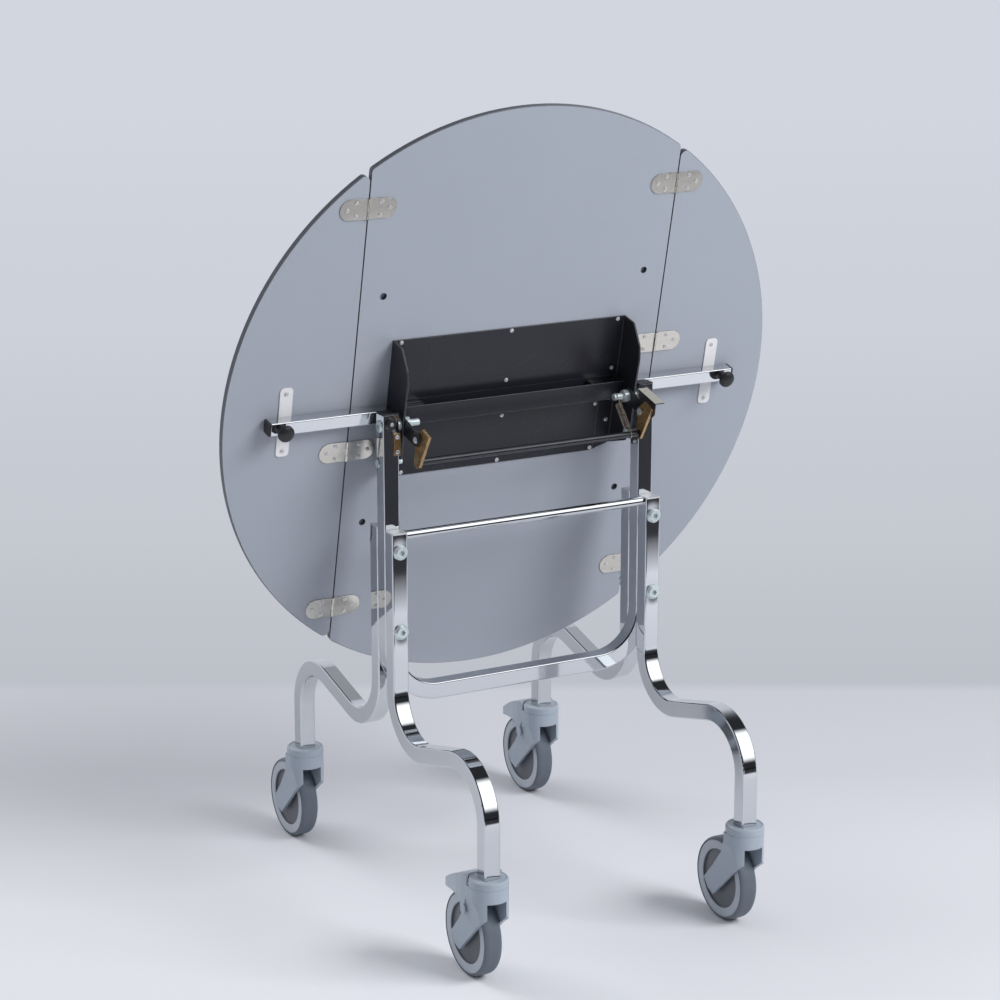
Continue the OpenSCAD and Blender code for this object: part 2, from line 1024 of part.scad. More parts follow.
module hook() {
  at_pivot() {
    side_plate(hook_out - 2, 2)
      difference() {
        polygon(hook_outline);
        translate(hook_pin)
          circle(hook_pin_d / 2 + run);
      }
    side_plate(hook_in, hook_t)
      intersection() {
        polygon(hook_outline);
        for (k = [0:2])
          edge_strip(hook_outline[k + 1], hook_outline[k], 2);
      }
  }
}

module right_hook() {
  color(brass)
    hook();
}

module left_hook() {
  color(brass)
    mirror([1, 0, 0])
      hook();
}

module latch_rod() {
  color(zinc)
    at_pivot()
      translate([0, rod_pin[0], rod_pin[1]])
        x_rod(2 - hook_out, 2 * (hook_out - 2), rod_d);
}

paddle_outline = [
  [-32.8, 17.4], [-82.2, 4.3], [-79, -13.3], [-72.9, -18.7], [-65.5, -18.5], [-52, -12.5], [-40, -8]
];

module release_paddle() {
  color(black)
    at_pivot() {
      side_plate(hook_out, paddle_t)
        difference() {
          union() {
            polygon(paddle_outline);
            translate(hook_pin)
              circle(5.2);
          }
          translate(hook_pin)
            circle(hook_pin_d / 2 + run);
        }
      side_plate(hook_out, 16)
        edge_strip(paddle_outline[1], paddle_outline[0], paddle_t);
    }
}

// coil between the pivot bolt and the release rod, with a hook on each end
spring_reach = norm(rod_pin);
spring_coil = [11, spring_reach - 11];

function spring_ring(r, side, a0, a1, steps) = [
  for (k = [0:steps])
    let (a = a0 + (a1 - a0) * k / steps)
      [0, r * sin(a), side * r * cos(a)]
];

function spring_helix(turns, steps) = [
  for (k = [0:steps])
    let (a = 360 * turns * k / steps)
      [
        spring_r * sin(a), spring_r * cos(a),
        spring_coil[0] + (spring_coil[1] - spring_coil[0]) * k / steps
      ]
];

function spring_path() =
  let (
    r = pivot_d / 2 + spring_wire / 2 + 0.4,
    q = rod_d / 2 + spring_wire / 2 + 0.4,
    top = [for (p = spring_ring(q, 1, 80, -200, 10)) p + [0, 0, spring_reach]]
  )
    concat(spring_ring(r, 1, 330, 90, 10), spring_helix(spring_turns, spring_turns * 8), top);

// least clear distance between two parts of a wire that lie at least skip points apart along it
function wire_gap(path, d, skip) =
  min([
    for (i = [0:len(path) - 1 - skip])
      min([for (j = [i + skip:len(path) - 1]) norm(path[i] - path[j])])
  ]) - d;

echo(spring_least_gap_mm = wire_gap(spring_path(), spring_wire, 5));

function unit(v) = v / norm(v);

// round wire along a list of points, its section carried on without twist
module wire(path, d, sides) {
  last = len(path) - 1;
  t = [for (i = [0:last]) unit(path[min(i + 1, last)] - path[max(i - 1, 0)])];
  n = [
    for (i = 0, m = unit(cross(t[0], [1, 0, 0])); i <= last;
      m = unit(m - (m * t[min(i + 1, last)]) * t[min(i + 1, last)]), i = i + 1)
      m
  ];
  points = [
    for (i = [0:last])
      for (k = [0:sides - 1])
        path[i] + d / 2 * (n[i] * cos(360 * k / sides) + cross(t[i], n[i]) * sin(360 * k / sides))
  ];
  walls = [
    for (i = [0:last - 1])
      for (k = [0:sides - 1])
        for (half = [0, 1])
          let (a = i * sides + k, b = i * sides + (k + 1) % sides)
            half == 0 ? [a, b, b + sides] : [a, b + sides, a + sides]
  ];
  ends = [[for (k = [0:sides - 1]) sides - 1 - k], [for (k = [0:sides - 1]) last * sides + k]];
  polyhedron(points, concat(walls, ends));
}

module latch_spring() {
  color([0.45, 0.42, 0.40])
    at_pivot()
      translate([spring_x, 0, 0])
        rotate([atan2(-rod_pin[0], rod_pin[1]), 0, 0])
          wire(spring_path(), spring_wire, 6);
}

// ---- casters ----

fork_in = 15.2;
arm_out = 20.5;
pedal_pin = [26, 110];
pedal_pin_d = 5;
cheek_room = 25.5;

module at_caster(x, y) {
  translate([x * frame_x, y * caster_y, 0])
    children();
}

// one arm of the fork, from the side; it hangs from the round housing and sweeps back to the axle
fork_outline = [
  [-housing_d / 2 - cut, housing_top_z], [-housing_d / 2 - cut, 111.5], [-6, 93], [trail - 4, 46], [trail + 5, 37],
  [trail + 20, 43], [trail + 30, 57], [31, 108], [27, 112], [20, 121], [13, 136], [13, housing_top_z]
];

module fork(pedal) {
  r = housing_d / 2;
  difference() {
    union() {
      translate([0, 0, housing_z])
        cylinder(h = housing_top_z - housing_z, d = housing_d);
      intersection() {
        linear_extrude(housing_top_z)
          difference() {
            union() {
              circle(r - tuck);
              translate([tuck - r, 0])
                square([2 * (r - tuck), wide]);
            }
            square([2 * fork_in, 3 * wide], center = true);
          }
        side_plate(-wide, 2 * wide)
          polygon(fork_outline);
        // the outer faces draw in from the housing to the wheel
        rotate([90, 0, 0])
          translate([0, 0, -wide])
            linear_extrude(2 * wide)
              polygon([
                [-arm_out, 0], [arm_out, 0], [arm_out, 84], [cheek_room - 0.5, 118], [r + cut, 136], [r + cut, 160],
                [-r - cut, 160], [-r - cut, 136], [0.5 - cheek_room, 118], [-arm_out, 84]
              ]);
      }
    }
    translate([0, 0, stem_foot_z - 1])
      cylinder(h = 60, d = stem_d + 2 * run);
    translate([0, trail, axle_z])
      x_rod(-18.2, 36.4, axle_d + 2 * run);
    if (pedal)
      translate([0, pedal_pin[0], pedal_pin[1]])
        x_rod(-wide, 2 * wide, pedal_pin_d + 2 * run);
  }
}

module axle() {
  translate([0, trail, axle_z])
    x_rod(-18, 36, axle_d);
}

// half a wheel's section, from its middle outwards, made whole
function both_faces(half) =
  concat(half, [for (i = [len(half) - 1:-1:0]) [half[i][0], -half[i][1]]]);

module wheel_body() {
  r = wheel_d / 2;
  boss = fork_in - 2 * slip;
  translate([0, trail, axle_z])
    rotate([0, 90, 0])
      rotate_extrude($fn = 96)
        polygon(both_faces([
          [axle_d / 2 + run, boss], [11, boss], [13, 10.5], [r - 18.8, 9.5], [r - 18, 12.4], [r - 17, 13.2],
          [r - 5.4, 13.4], [r - 4, 12.6], [r - 4, 11], [r - 7, 9]
        ]));
}

// the tread is crowned, with soft shoulders
module tyre() {
  r = wheel_d / 2;
  w = tyre_w / 2;
  translate([0, trail, axle_z])
    rotate([0, 90, 0])
      rotate_extrude($fn = 96)
        polygon(both_faces(concat(
          [[r - 7, 9], [r - 4, 11]],
          [for (a = [90:-15:0]) [r - 4 + 4 * cos(a), w - 8.5 + 8.5 * sin(a)]],
          [[r, w - 10]]
        )));
}

// side of a pedal, from the collar to the tip, and the room under its skin
pedal_side = [
  [13.4, 162.5], [24, 162.3], [40, 158.8], [60, 150.8], [80, 141], [100, 130], [112, 122.4], [116.5, 117.6],
  [115.6, 113.6], [110, 112.6], [98, 115.5], [80, 119.5], [60, 122.5], [40, 123.5], [34, 119], [33, 106],
  [28, 103], [22, 103.6], [18.6, 108], [19.5, 116], [22.8, 118.2], [20.4, 121.4], [13.4, 136.4]
];
pedal_room = [
  [0, 90], [0, 159.6], [24, 159.4], [39, 156], [59, 148], [79, 138.2], [99, 127.2], [106, 122], [103, 100], [60, 90]
];

// half of a pedal seen from above, set in by t
function pedal_plan(t) =
  let (w = housing_d / 2 - 0.3 - t)
    [[w, -cut], [w, 30], [w - 2.5, 50], [w - 6.5, 70], [14.6 - t, 102 - t], [11.5 - t, 110 - 2 * t], [6 - t, 115.5 - 3 * t]];

module pedal_outline(t) {
  half = pedal_plan(t);
  polygon(concat(half, [for (i = [len(half) - 1:-1:0]) [-half[i][0], half[i][1]]]));
}

module pedal() {
  w = housing_d / 2;
  difference() {
    intersection() {
      side_plate(-w, 2 * w)
        polygon(pedal_side);
      linear_extrude(wide)
        pedal_outline(0);
    }
    intersection() {
      side_plate(-w, 2 * w)
        polygon(pedal_room);
      linear_extrude(wide)
        pedal_outline(pedal_t);
    }
    cylinder(h = wide, d = housing_d + 2 * slip + 0.2);
    // room for the arms between the cheeks
    translate([-cheek_room, 0, 0])
      cube([2 * cheek_room, pedal_pin[0] + 14, housing_z - 4]);
  }
  translate([0, pedal_pin[0], pedal_pin[1]])
    both_sides()
      x_rod(fork_in + slip, cheek_room + pedal_t / 2 - fork_in - slip, pedal_pin_d);
}

module fl_fork() {
  color(moulding)
    at_caster(-1, -1)
      fork(true);
}

module fl_axle() {
  color(zinc)
    at_caster(-1, -1)
      axle();
}

module fl_wheel() {
  color([0.45, 0.47, 0.50])
    at_caster(-1, -1)
      wheel_body();
}

module fl_tyre() {
  color(rubber)
    at_caster(-1, -1)
      tyre();
}

module fl_pedal() {
  color(moulding)
    at_caster(-1, -1)
      pedal();
}

module fr_fork() {
  color(moulding)
    at_caster(1, -1)
      fork(false);
}

module fr_axle() {
  color(zinc)
    at_caster(1, -1)
      axle();
}

module fr_wheel() {
  color([0.45, 0.47, 0.50])
    at_caster(1, -1)
      wheel_body();
}

module fr_tyre() {
  color(rubber)
    at_caster(1, -1)
      tyre();
}

module bl_fork() {
  color(moulding)
    at_caster(-1, 1)
      fork(false);
}

module bl_axle() {
  color(zinc)
    at_caster(-1, 1)
      axle();
}

module bl_wheel() {
  color([0.45, 0.47, 0.50])
    at_caster(-1, 1)
      wheel_body();
}

module bl_tyre() {
  color(rubber)
    at_caster(-1, 1)
      tyre();
}

module br_fork() {
  color(moulding)
    at_caster(1, 1)
      fork(true);
}

module br_axle() {
  color(zinc)
    at_caster(1, 1)
      axle();
}

module br_wheel() {
  color([0.45, 0.47, 0.50])
    at_caster(1, 1)
      wheel_body();
}

module br_tyre() {
  color(rubber)
    at_caster(1, 1)
      tyre();
}

module br_pedal() {
  color(moulding)
    at_caster(1, 1)
      pedal();
}

u_frame();
front_leg_left();
front_leg_right();
back_leg_left();
back_leg_right();
crossbar();
leg_plugs();
upright_plugs();
frame_bolts();
frame_nuts();
pivot_bolts();
pivot_bushes();
stop_studs();
buffers();
keeper_plates();
upright_screws();
caster_collars();
centre_panel();
left_leaf();
right_leaf();
hinge_inner_plates();
hinge_outer_plates();
hinge_pins();
hinge_screws();
wear_strips();
plate_screws();
top_bracket();
channel_plate();
latch_arms();
hook_bolts();
bar_guides();
latch_spring();
left_bar();
right_bar();
left_bar_caps();
right_bar_caps();
left_knob();
right_knob();
left_hook();
right_hook();
latch_rod();
release_paddle();
fl_fork();
fl_axle();
fl_wheel();
fl_tyre();
fl_pedal();
fr_fork();
fr_axle();
fr_wheel();
fr_tyre();
bl_fork();
bl_axle();
bl_wheel();
bl_tyre();
br_fork();
br_axle();
br_wheel();
br_tyre();
br_pedal();
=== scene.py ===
"""Room service table, stored upright: finishes, a wound spring, a backing sheet and a studio.

All lengths are in metres, in the part's own frame: X to the right, Y to the back, Z up, and the
floor at zero. Colours are linear red, green and blue.
"""

import json
import math

import bmesh
import bpy
import numpy as np
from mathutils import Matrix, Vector


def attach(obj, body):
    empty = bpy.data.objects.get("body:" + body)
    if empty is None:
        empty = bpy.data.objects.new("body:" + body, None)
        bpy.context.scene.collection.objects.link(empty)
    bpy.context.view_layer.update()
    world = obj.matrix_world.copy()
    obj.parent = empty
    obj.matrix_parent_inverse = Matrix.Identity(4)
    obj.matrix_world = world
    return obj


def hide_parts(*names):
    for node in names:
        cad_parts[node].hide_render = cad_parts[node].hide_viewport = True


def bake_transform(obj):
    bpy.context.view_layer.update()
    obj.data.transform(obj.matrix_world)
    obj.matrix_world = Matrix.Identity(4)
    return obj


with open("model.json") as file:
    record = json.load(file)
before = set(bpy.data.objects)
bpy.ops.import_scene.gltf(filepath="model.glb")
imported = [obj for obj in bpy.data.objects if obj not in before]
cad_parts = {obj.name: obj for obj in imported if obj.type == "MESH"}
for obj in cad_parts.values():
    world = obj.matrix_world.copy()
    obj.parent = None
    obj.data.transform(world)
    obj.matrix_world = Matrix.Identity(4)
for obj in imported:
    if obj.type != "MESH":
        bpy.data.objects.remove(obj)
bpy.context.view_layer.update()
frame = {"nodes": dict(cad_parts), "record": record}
nodes = frame["nodes"]


# ---- driving sizes ----

MM = 0.001

# the pivot that the top tilts about, and how far the stored top leans from upright
PIVOT = np.array([0, 0, 745]) * MM
LEAN = math.radians(12.75)
# the stored top: the way up it, the way out of its upper face, and its middle on the underside
UP = np.array([0, -math.sin(LEAN), math.cos(LEAN)])
OUT = np.array([0, math.cos(LEAN), math.sin(LEAN)])
TOP_MIDDLE = PIVOT + 2 * MM * UP + 45 * MM * OUT

# frame bolts through the legs and uprights: across and height, and the dent round each
BOLTS = [(side * 212.5 * MM, height * MM) for side in (-1, 1) for height in (565, 445)]
DENT_REACH = 17 * MM
DENT_DEPTH = 0.75 * MM

# the latch spring: the rod's place from the pivot (back, up) and the coil's place across
ROD_PIN = (-41.5 * MM, -48.5 * MM)
SPRING_X = 167 * MM
# the coil's radius, turns and points in a turn, and how far it starts from a ring's middle
SPRING_R = 4.6 * MM
SPRING_TURNS = 17
TURN_STEPS = 28
SPRING_END = 11 * MM
# the wire, and the rings round bolt and rod: radius, points, and first and last angle of each
SPRING_WIRE = 1.2 * MM
WIRE_SIDES = 10
EYE_R = 6 * MM
EYE_STEPS = 40
BOLT_EYE = (330, 90)
ROD_EYE = (80, -200)

# the flat sheet behind the bar channel: half length and height, corner, thickness, worn edge,
# and its place on the top (across, up, out of the underside)
BACKING_HALF = (185.5 * MM, 13.1 * MM)
BACKING_CORNER = 1 * MM
BACKING_THICK = 1.3 * MM
BACKING_EDGE = 0.4 * MM
BACKING_AT = [0, 0.2 * MM, 0.1 * MM]

# edges that turn more than this stay sharp, and points closer than this are one
SHARP_ANGLE = math.radians(50)
MERGE = 1e-6


# ---- shader nodes ----


def group(name, inputs, outputs):
    """An empty shader node group with named number, colour or vector sockets, and its two ends."""
    tree = bpy.data.node_groups.new(name, "ShaderNodeTree")
    for label, kind, value in inputs:
        socket = tree.interface.new_socket(label, in_out="INPUT", socket_type=kind)
        socket.default_value = value
    for label, kind in outputs:
        tree.interface.new_socket(label, in_out="OUTPUT", socket_type=kind)
    return tree, tree.nodes.new("NodeGroupInput"), tree.nodes.new("NodeGroupOutput")


def node(tree, kind, links=(), **values):
    """A node with its settings, and its inputs wired or set by name or place."""
    made = tree.nodes.new(kind)
    for key, value in values.items():
        setattr(made, key, value)
    for key, value in dict(links).items():
        if hasattr(value, "is_output"):
            tree.links.new(value, made.inputs[key])
        else:
            made.inputs[key].default_value = value
    return made


def number(tree, operation, a, b=0.0):
    """One step of arithmetic on numbers."""
    return node(tree, "ShaderNodeMath", {0: a, 1: b}, operation=operation).outputs[0]


def vector(tree, operation, a, b=(0, 0, 0)):
    """One step of arithmetic on vectors: a number for a dot product or a length, else a vector."""
    made = node(tree, "ShaderNodeVectorMath", {0: a, 1: b}, operation=operation)
    return made.outputs["Value" if operation in ("DOT_PRODUCT", "LENGTH") else "Vector"]


def ramp(tree, value, low, high, out_low=0.0, out_high=1.0, kind="SMOOTHSTEP"):
    """value from low to high, as a step from out_low to out_high that eases in and out.

    With the kind LINEAR the step runs straight.
    """
    made = node(
        tree,
        "ShaderNodeMapRange",
        {
            "Value": value,
            "From Min": low,
            "From Max": high,
            "To Min": out_low,
            "To Max": out_high,
        },
        interpolation_type=kind,
    )
    return made.outputs["Result"]


def tone_band(tree, value, reach, stops):
    """The colour at value, which runs from -reach to reach, from places in 0 to 1 and colours."""
    share = ramp(tree, value, -reach, reach, kind="LINEAR")
    made = node(tree, "ShaderNodeValToRGB", {0: share})
    band = made.color_ramp
    while len(band.elements) < len(stops):
        band.elements.new(0.5)
    for stop, (at, tone) in zip(band.elements, stops):
        stop.position = at
        stop.color = (*tone, 1)
    return made.outputs[0]


def mix_colour(tree, factor, a, b):
    """a where factor is 0 and b where it is 1."""
    made = node(tree, "ShaderNodeMix", data_type="RGBA")
    for key, value in ((0, factor), (6, a), (7, b)):
        if hasattr(value, "is_output"):
            tree.links.new(value, made.inputs[key])
        else:
            made.inputs[key].default_value = (*value, 1)
    return made.outputs[2]


# ---- effects shared by several finishes ----

# how far the rounded light turns from the flat face, as a cosine: no painted edge highlight, full
# painted edge highlight
EDGE_TURN = (0.995, 0.86)
# the part of a noise's values that a cloud or a patch of dust spans
CLOUD_SPAN = (0.3, 0.7)
DUST_SPAN = (0.35, 0.75)
# how far a face looks up: no dust, full dust
DUST_TURN = (0.2, 0.95)
DUST_PATCHES = 45.0
DUST_TONE = (0.5, 0.5, 0.5)


def soft_edges():
    """Rounds the light on sharp edges, and gives a mask that is 1 along them."""
    tree, start, end = group(
        "soft_edges",
        [("Radius", "NodeSocketFloat", 0.0006)],
        [("Normal", "NodeSocketVector"), ("Edge", "NodeSocketFloat")],
    )
    rounded = node(tree, "ShaderNodeBevel", {"Radius": start.outputs["Radius"]}, samples=6)
    flat = node(tree, "ShaderNodeNewGeometry").outputs["True Normal"]
    turn = vector(tree, "DOT_PRODUCT", rounded.outputs[0], flat)
    tree.links.new(rounded.outputs[0], end.inputs["Normal"])
    tree.links.new(ramp(tree, turn, *EDGE_TURN), end.inputs["Edge"])
    return tree


def grain():
    """Fine pits as a height for a bump, and a number from 0 to 1 that drifts over the surface."""
    tree, start, end = group(
        "grain",
        [
            ("Size", "NodeSocketFloat", 0.001),
            ("Patch", "NodeSocketFloat", 0.05),
            ("Stretch", "NodeSocketVector", (1, 1, 1)),
        ],
        [("Height", "NodeSocketFloat"), ("Cloud", "NodeSocketFloat")],
    )
    place = node(tree, "ShaderNodeTexCoord").outputs["Object"]
    drawn_out = vector(tree, "MULTIPLY", place, start.outputs["Stretch"])
    for size, label, detail in (("Size", "Height", 2.0), ("Patch", "Cloud", 4.0)):
        rate = number(tree, "DIVIDE", 1.0, start.outputs[size])
        made = node(
            tree,
            "ShaderNodeTexNoise",
            {"Vector": drawn_out, "Scale": rate, "Detail": detail, "Roughness": 0.55},
        )
        tree.links.new(made.outputs[0], end.inputs[label])
    return tree


def dust():
    """A mask for dust that settles on faces that look up, broken into patches."""
    tree, start, end = group(
        "dust", [("Amount", "NodeSocketFloat", 0.2)], [("Dust", "NodeSocketFloat")]
    )
    place = node(tree, "ShaderNodeTexCoord")
    up = node(tree, "ShaderNodeSeparateXYZ", {0: place.outputs["Normal"]}).outputs["Z"]
    patches = node(
        tree,
        "ShaderNodeTexNoise",
        {
            "Vector": place.outputs["Object"],
            "Scale": DUST_PATCHES,
            "Detail": 6.0,
            "Roughness": 0.6,
        },
    ).outputs[0]
    settled = number(
        tree, "MULTIPLY", ramp(tree, up, *DUST_TURN), ramp(tree, patches, *DUST_SPAN)
    )
    amount = number(tree, "MULTIPLY", settled, start.outputs["Amount"])
    tree.links.new(amount, end.inputs["Dust"])
    return tree


SOFT_EDGES = soft_edges()
GRAIN = grain()
DUST = dust()


def use(tree, effect, **values):
    """A shared effect placed in a material with the material's own values."""
    made = tree.nodes.new("ShaderNodeGroup")
    made.node_tree = effect
    for key, value in values.items():
        made.inputs[key].default_value = value
    return made


# ---- finishes ----

# the shares of a finish's roughness where its cloud is thin and where it is thick
ROUGH_SPREAD = (0.85, 1.2)


def finish(
    name,
    colour,
    rough,
    metal=0.0,
    edge_highlight=None,
    edge_radius=0.5 * MM,
    grain_size=1 * MM,
    patch=60 * MM,
    stretch=(1, 1, 1),
    bump=0.02,
    cloud=0.06,
    dust_amount=0.0,
    specular=0.5,
):
    """A finish with a fine bump, cloudy tone and roughness, rounded edges with a paler painted
    highlight along them where one is given, and dust.

    The bump is in millimetres. The cloud is the share by which the tone drifts either way.
    """
    material = bpy.data.materials.new(name)
    material.use_nodes = True
    tree = material.node_tree
    shader = tree.nodes["Principled BSDF"]
    edges = use(tree, SOFT_EDGES, Radius=edge_radius)
    pits = use(tree, GRAIN, Size=grain_size, Patch=patch, Stretch=stretch)
    drift = pits.outputs["Cloud"]
    shade = ramp(tree, drift, *CLOUD_SPAN, 1 - cloud, 1 + cloud)
    tone = vector(tree, "MULTIPLY", colour, shade)
    # a paler colour along the edges: a painted highlight
    if edge_highlight:
        tone = mix_colour(tree, edges.outputs["Edge"], tone, edge_highlight)
    if dust_amount:
        tone = mix_colour(tree, use(tree, DUST, Amount=dust_amount).outputs[0], tone, DUST_TONE)
    tree.links.new(tone, shader.inputs["Base Color"])
    dulled = ramp(tree, drift, *CLOUD_SPAN, *(rough * share for share in ROUGH_SPREAD))
    tree.links.new(dulled, shader.inputs["Roughness"])
    shader.inputs["Metallic"].default_value = metal
    shader.inputs["Specular IOR Level"].default_value = specular
    raise_surface(material, bump * MM, pits.outputs["Height"], edges.outputs["Normal"])
    return material


def raise_surface(material, distance, height, normal):
    """A bump of the given height on the material's shader, over the normal that it starts from."""
    tree = material.node_tree
    raised = node(
        tree,
        "ShaderNodeBump",
        {"Strength": 1.0, "Distance": distance, "Height": height, "Normal": normal},
    )
    tree.links.new(raised.outputs[0], tree.nodes["Principled BSDF"].inputs["Normal"])


def paint_over(material, mask, colour):
    """A second colour over a finish, where the mask is 1."""
    tree = material.node_tree
    base = tree.nodes["Principled BSDF"].inputs["Base Color"]
    tree.links.new(mix_colour(tree, mask, base.links[0].from_socket, colour), base)


def facing(tree, way):
    """The cosine between a face's normal and a way: 1 where the face looks along it."""
    normal = node(tree, "ShaderNodeTexCoord").outputs["Normal"]
    return vector(tree, "DOT_PRODUCT", normal, tuple(way))


def dress(material, *names):
    """Gives CAD nodes one finish."""
    for name in names:
        mesh = nodes[name].data
        mesh.materials.clear()
        mesh.materials.append(material)


# the board's laminate and core, and how squarely a face looks out of it: all laminate, all core
BOARD_FACE = (0.312, 0.338, 0.388)
BOARD_CORE = (0.055, 0.06, 0.072)
BOARD_TURN = (0.9, 0.6)


def laminate_board():
    """Light grey laminate on the faces, and the dark core that shows round rim and seams."""
    material = finish(
        "laminate_board",
        BOARD_FACE,
        0.38,
        grain_size=0.7 * MM,
        patch=0.25,
        bump=0.008,
        cloud=0.012,
        edge_radius=0.4 * MM,
    )
    tree = material.node_tree
    side = ramp(tree, number(tree, "ABSOLUTE", facing(tree, OUT)), *BOARD_TURN)
    paint_over(material, side, BOARD_CORE)
    return material


# a wheel's moulding: the light ring's inner radius and how sharply it ends, and both tones
RING_R = 44.5 * MM
RING_FADE = 0.3 * MM
RING_TONE = (0.40, 0.435, 0.485)
MIDDLE_TONE = (0.112, 0.117, 0.135)


def wheel_face(name, hub):
    """A light ring next to the tyre and a dark, recessed middle, told apart by radius.

    The radius is the length of (place - hub) with its part along the axle taken out.
    """
    material = finish(
        name,
        RING_TONE,
        0.38,
        grain_size=0.5 * MM,
        bump=0.006,
        cloud=0.03,
        edge_radius=0.8 * MM,
    )
    tree = material.node_tree
    place = node(tree, "ShaderNodeTexCoord").outputs["Object"]
    away = vector(tree, "SUBTRACT", place, tuple(hub))
    radius = vector(tree, "LENGTH", vector(tree, "MULTIPLY", away, (0, 1, 1)))
    middle = ramp(tree, radius, RING_R + RING_FADE, RING_R - RING_FADE)
    paint_over(material, middle, MIDDLE_TONE)
    return material


# the paddle's black steel and the pale tone of a painted reflection on its upper face, the way that
# face looks (up and a little forward), and how squarely a face looks that way: none, full
PADDLE_BLACK = (0.020, 0.020, 0.023)
PADDLE_SHEEN = (0.36, 0.345, 0.31)
LIT_FACE = (0, -0.256, 0.967)
SHEEN_TURN = (0.85, 0.97)


def paddle_steel():
    """Blackened steel, with a pale painted reflection on the face that looks up and a little
    forward.
    """
    material = finish(
        "paddle_steel",
        PADDLE_BLACK,
        0.30,
        grain_size=0.5 * MM,
        bump=0.003,
        edge_radius=0.6 * MM,
    )
    tree = material.node_tree
    # the face that looks up and a little forward is painted pale: a painted reflection
    painted_sheen = ramp(tree, facing(tree, LIT_FACE), *SHEEN_TURN)
    paint_over(material, painted_sheen, PADDLE_SHEEN)
    return material


def dent_round_bolts(material):
    """The tube walls pulled in a little round each frame bolt.

    The depth falls off as exp(-(distance / reach)^2), and the dents of all the bolts add up.
    """
    tree = material.node_tree
    place = node(tree, "ShaderNodeTexCoord").outputs["Object"]
    total = 0.0
    for x, z in BOLTS:
        away = vector(tree, "SUBTRACT", place, (x, 0, z))
        flat = vector(tree, "MULTIPLY", away, (1 / DENT_REACH, 0, 1 / DENT_REACH))
        square = vector(tree, "DOT_PRODUCT", flat, flat)
        drop = number(tree, "EXPONENT", number(tree, "MULTIPLY", square, -1.0))
        total = number(tree, "ADD", drop, total)
    fine = tree.nodes["Principled BSDF"].inputs["Normal"].links[0].from_socket
    raise_surface(material, -DENT_DEPTH, total, fine)


CHROME = finish(
    "chrome_tube",
    (0.64, 0.66, 0.685),
    0.06,
    metal=1,
    bump=0.0,
    cloud=0.01,
    patch=80 * MM,
    edge_radius=0.3 * MM,
)
PLATED = finish(
    "plated_bar",
    (0.74, 0.755, 0.78),
    0.09,
    metal=1,
    grain_size=0.4 * MM,
    bump=0.0015,
    cloud=0.02,
    edge_radius=0.6 * MM,
)
ZINC = finish(
    "zinc_hardware",
    (0.68, 0.76, 0.78),
    0.34,
    metal=0.6,
    grain_size=0.5 * MM,
    bump=0.006,
    cloud=0.08,
    patch=6 * MM,
    edge_highlight=(0.80, 0.90, 0.90),
)
SCREW = finish(
    "screw_steel",
    (0.74, 0.75, 0.76),
    0.34,
    metal=0.6,
    grain_size=0.3 * MM,
    bump=0.004,
    cloud=0.08,
    patch=3 * MM,
    edge_radius=0.25 * MM,
)
BLACK = finish(
    "black_plastic",
    (0.018, 0.018, 0.021),
    0.38,
    grain_size=0.35 * MM,
    bump=0.010,
    cloud=0.1,
    edge_highlight=(0.05, 0.05, 0.055),
    edge_radius=0.7 * MM,
)
BRASS = finish(
    "brass_plate",
    (0.50, 0.32, 0.15),
    0.27,
    metal=0.8,
    grain_size=0.5 * MM,
    bump=0.001,
    cloud=0.04,
    patch=14 * MM,
    # the pale edge is a painted highlight
    edge_highlight=(0.78, 0.60, 0.36),
    edge_radius=0.6 * MM,
)
MOULDING = finish(
    "grey_moulding",
    (0.325, 0.372, 0.435),
    0.34,
    grain_size=0.5 * MM,
    bump=0.004,
    cloud=0.02,
    edge_highlight=(0.40, 0.46, 0.52),
    edge_radius=1.0 * MM,
)
AXLE = finish("axle_steel", (0.55, 0.56, 0.58), 0.3, metal=1)
TYRE = finish(
    "tyre_rubber",
    (0.105, 0.125, 0.155),
    0.48,
    grain_size=0.8 * MM,
    bump=0.012,
    cloud=0.05,
    edge_radius=0.8 * MM,
    dust_amount=0.1,
)
LAMINATE = laminate_board()
NICKEL = finish(
    "nickel_hinge",
    (0.68, 0.65, 0.59),
    0.20,
    metal=1,
    grain_size=0.5 * MM,
    stretch=(0.08, 1, 1),
    bump=0.002,
    cloud=0.08,
    patch=12 * MM,
    edge_highlight=(0.80, 0.79, 0.76),
)
STRIP = finish(
    "strip_plastic",
    (0.66, 0.66, 0.67),
    0.30,
    grain_size=0.8 * MM,
    bump=0.003,
    cloud=0.03,
    edge_radius=0.4 * MM,
)
SHEET = finish(
    "black_sheet",
    (0.014, 0.0145, 0.020),
    0.30,
    grain_size=0.8 * MM,
    patch=0.5,
    bump=0.004,
    cloud=0.02,
    # the pale edge is a painted highlight along the sheet's folds
    edge_highlight=(0.22, 0.225, 0.24),
    edge_radius=0.8 * MM,
    specular=0.4,
)
# a dark, nearly black metal rod
ROD = finish(
    "dark_rod",
    (0.075, 0.078, 0.085),
    0.22,
    metal=0.9,
    grain_size=0.4 * MM,
    bump=0.002,
    cloud=0.08,
    patch=20 * MM,
    edge_radius=0.3 * MM,
)
SPRING = finish(
    "spring_steel",
    (0.50, 0.42, 0.35),
    0.28,
    metal=0.8,
    bump=0.0,
    cloud=0.1,
    patch=5 * MM,
    edge_radius=0.1 * MM,
)
PADDLE = paddle_steel()

FINISH_OF = {
    "chrome_tube": CHROME,
    "plated_bar": PLATED,
    "zinc_hardware": ZINC,
    "screw_steel": SCREW,
    "black_plastic": BLACK,
    "brass_plate": BRASS,
    "grey_moulding": MOULDING,
    "axle_steel": AXLE,
    "tyre_rubber": TYRE,
    "laminate_board": LAMINATE,
    "nickel_hinge": NICKEL,
    "strip_plastic": STRIP,
    "black_sheet": SHEET,
    "spring_steel": SPRING,
}
for part in frame["record"]["subparts"]:
    if part["material_slot"] in FINISH_OF:
        dress(FINISH_OF[part["material_slot"]], part["node"])
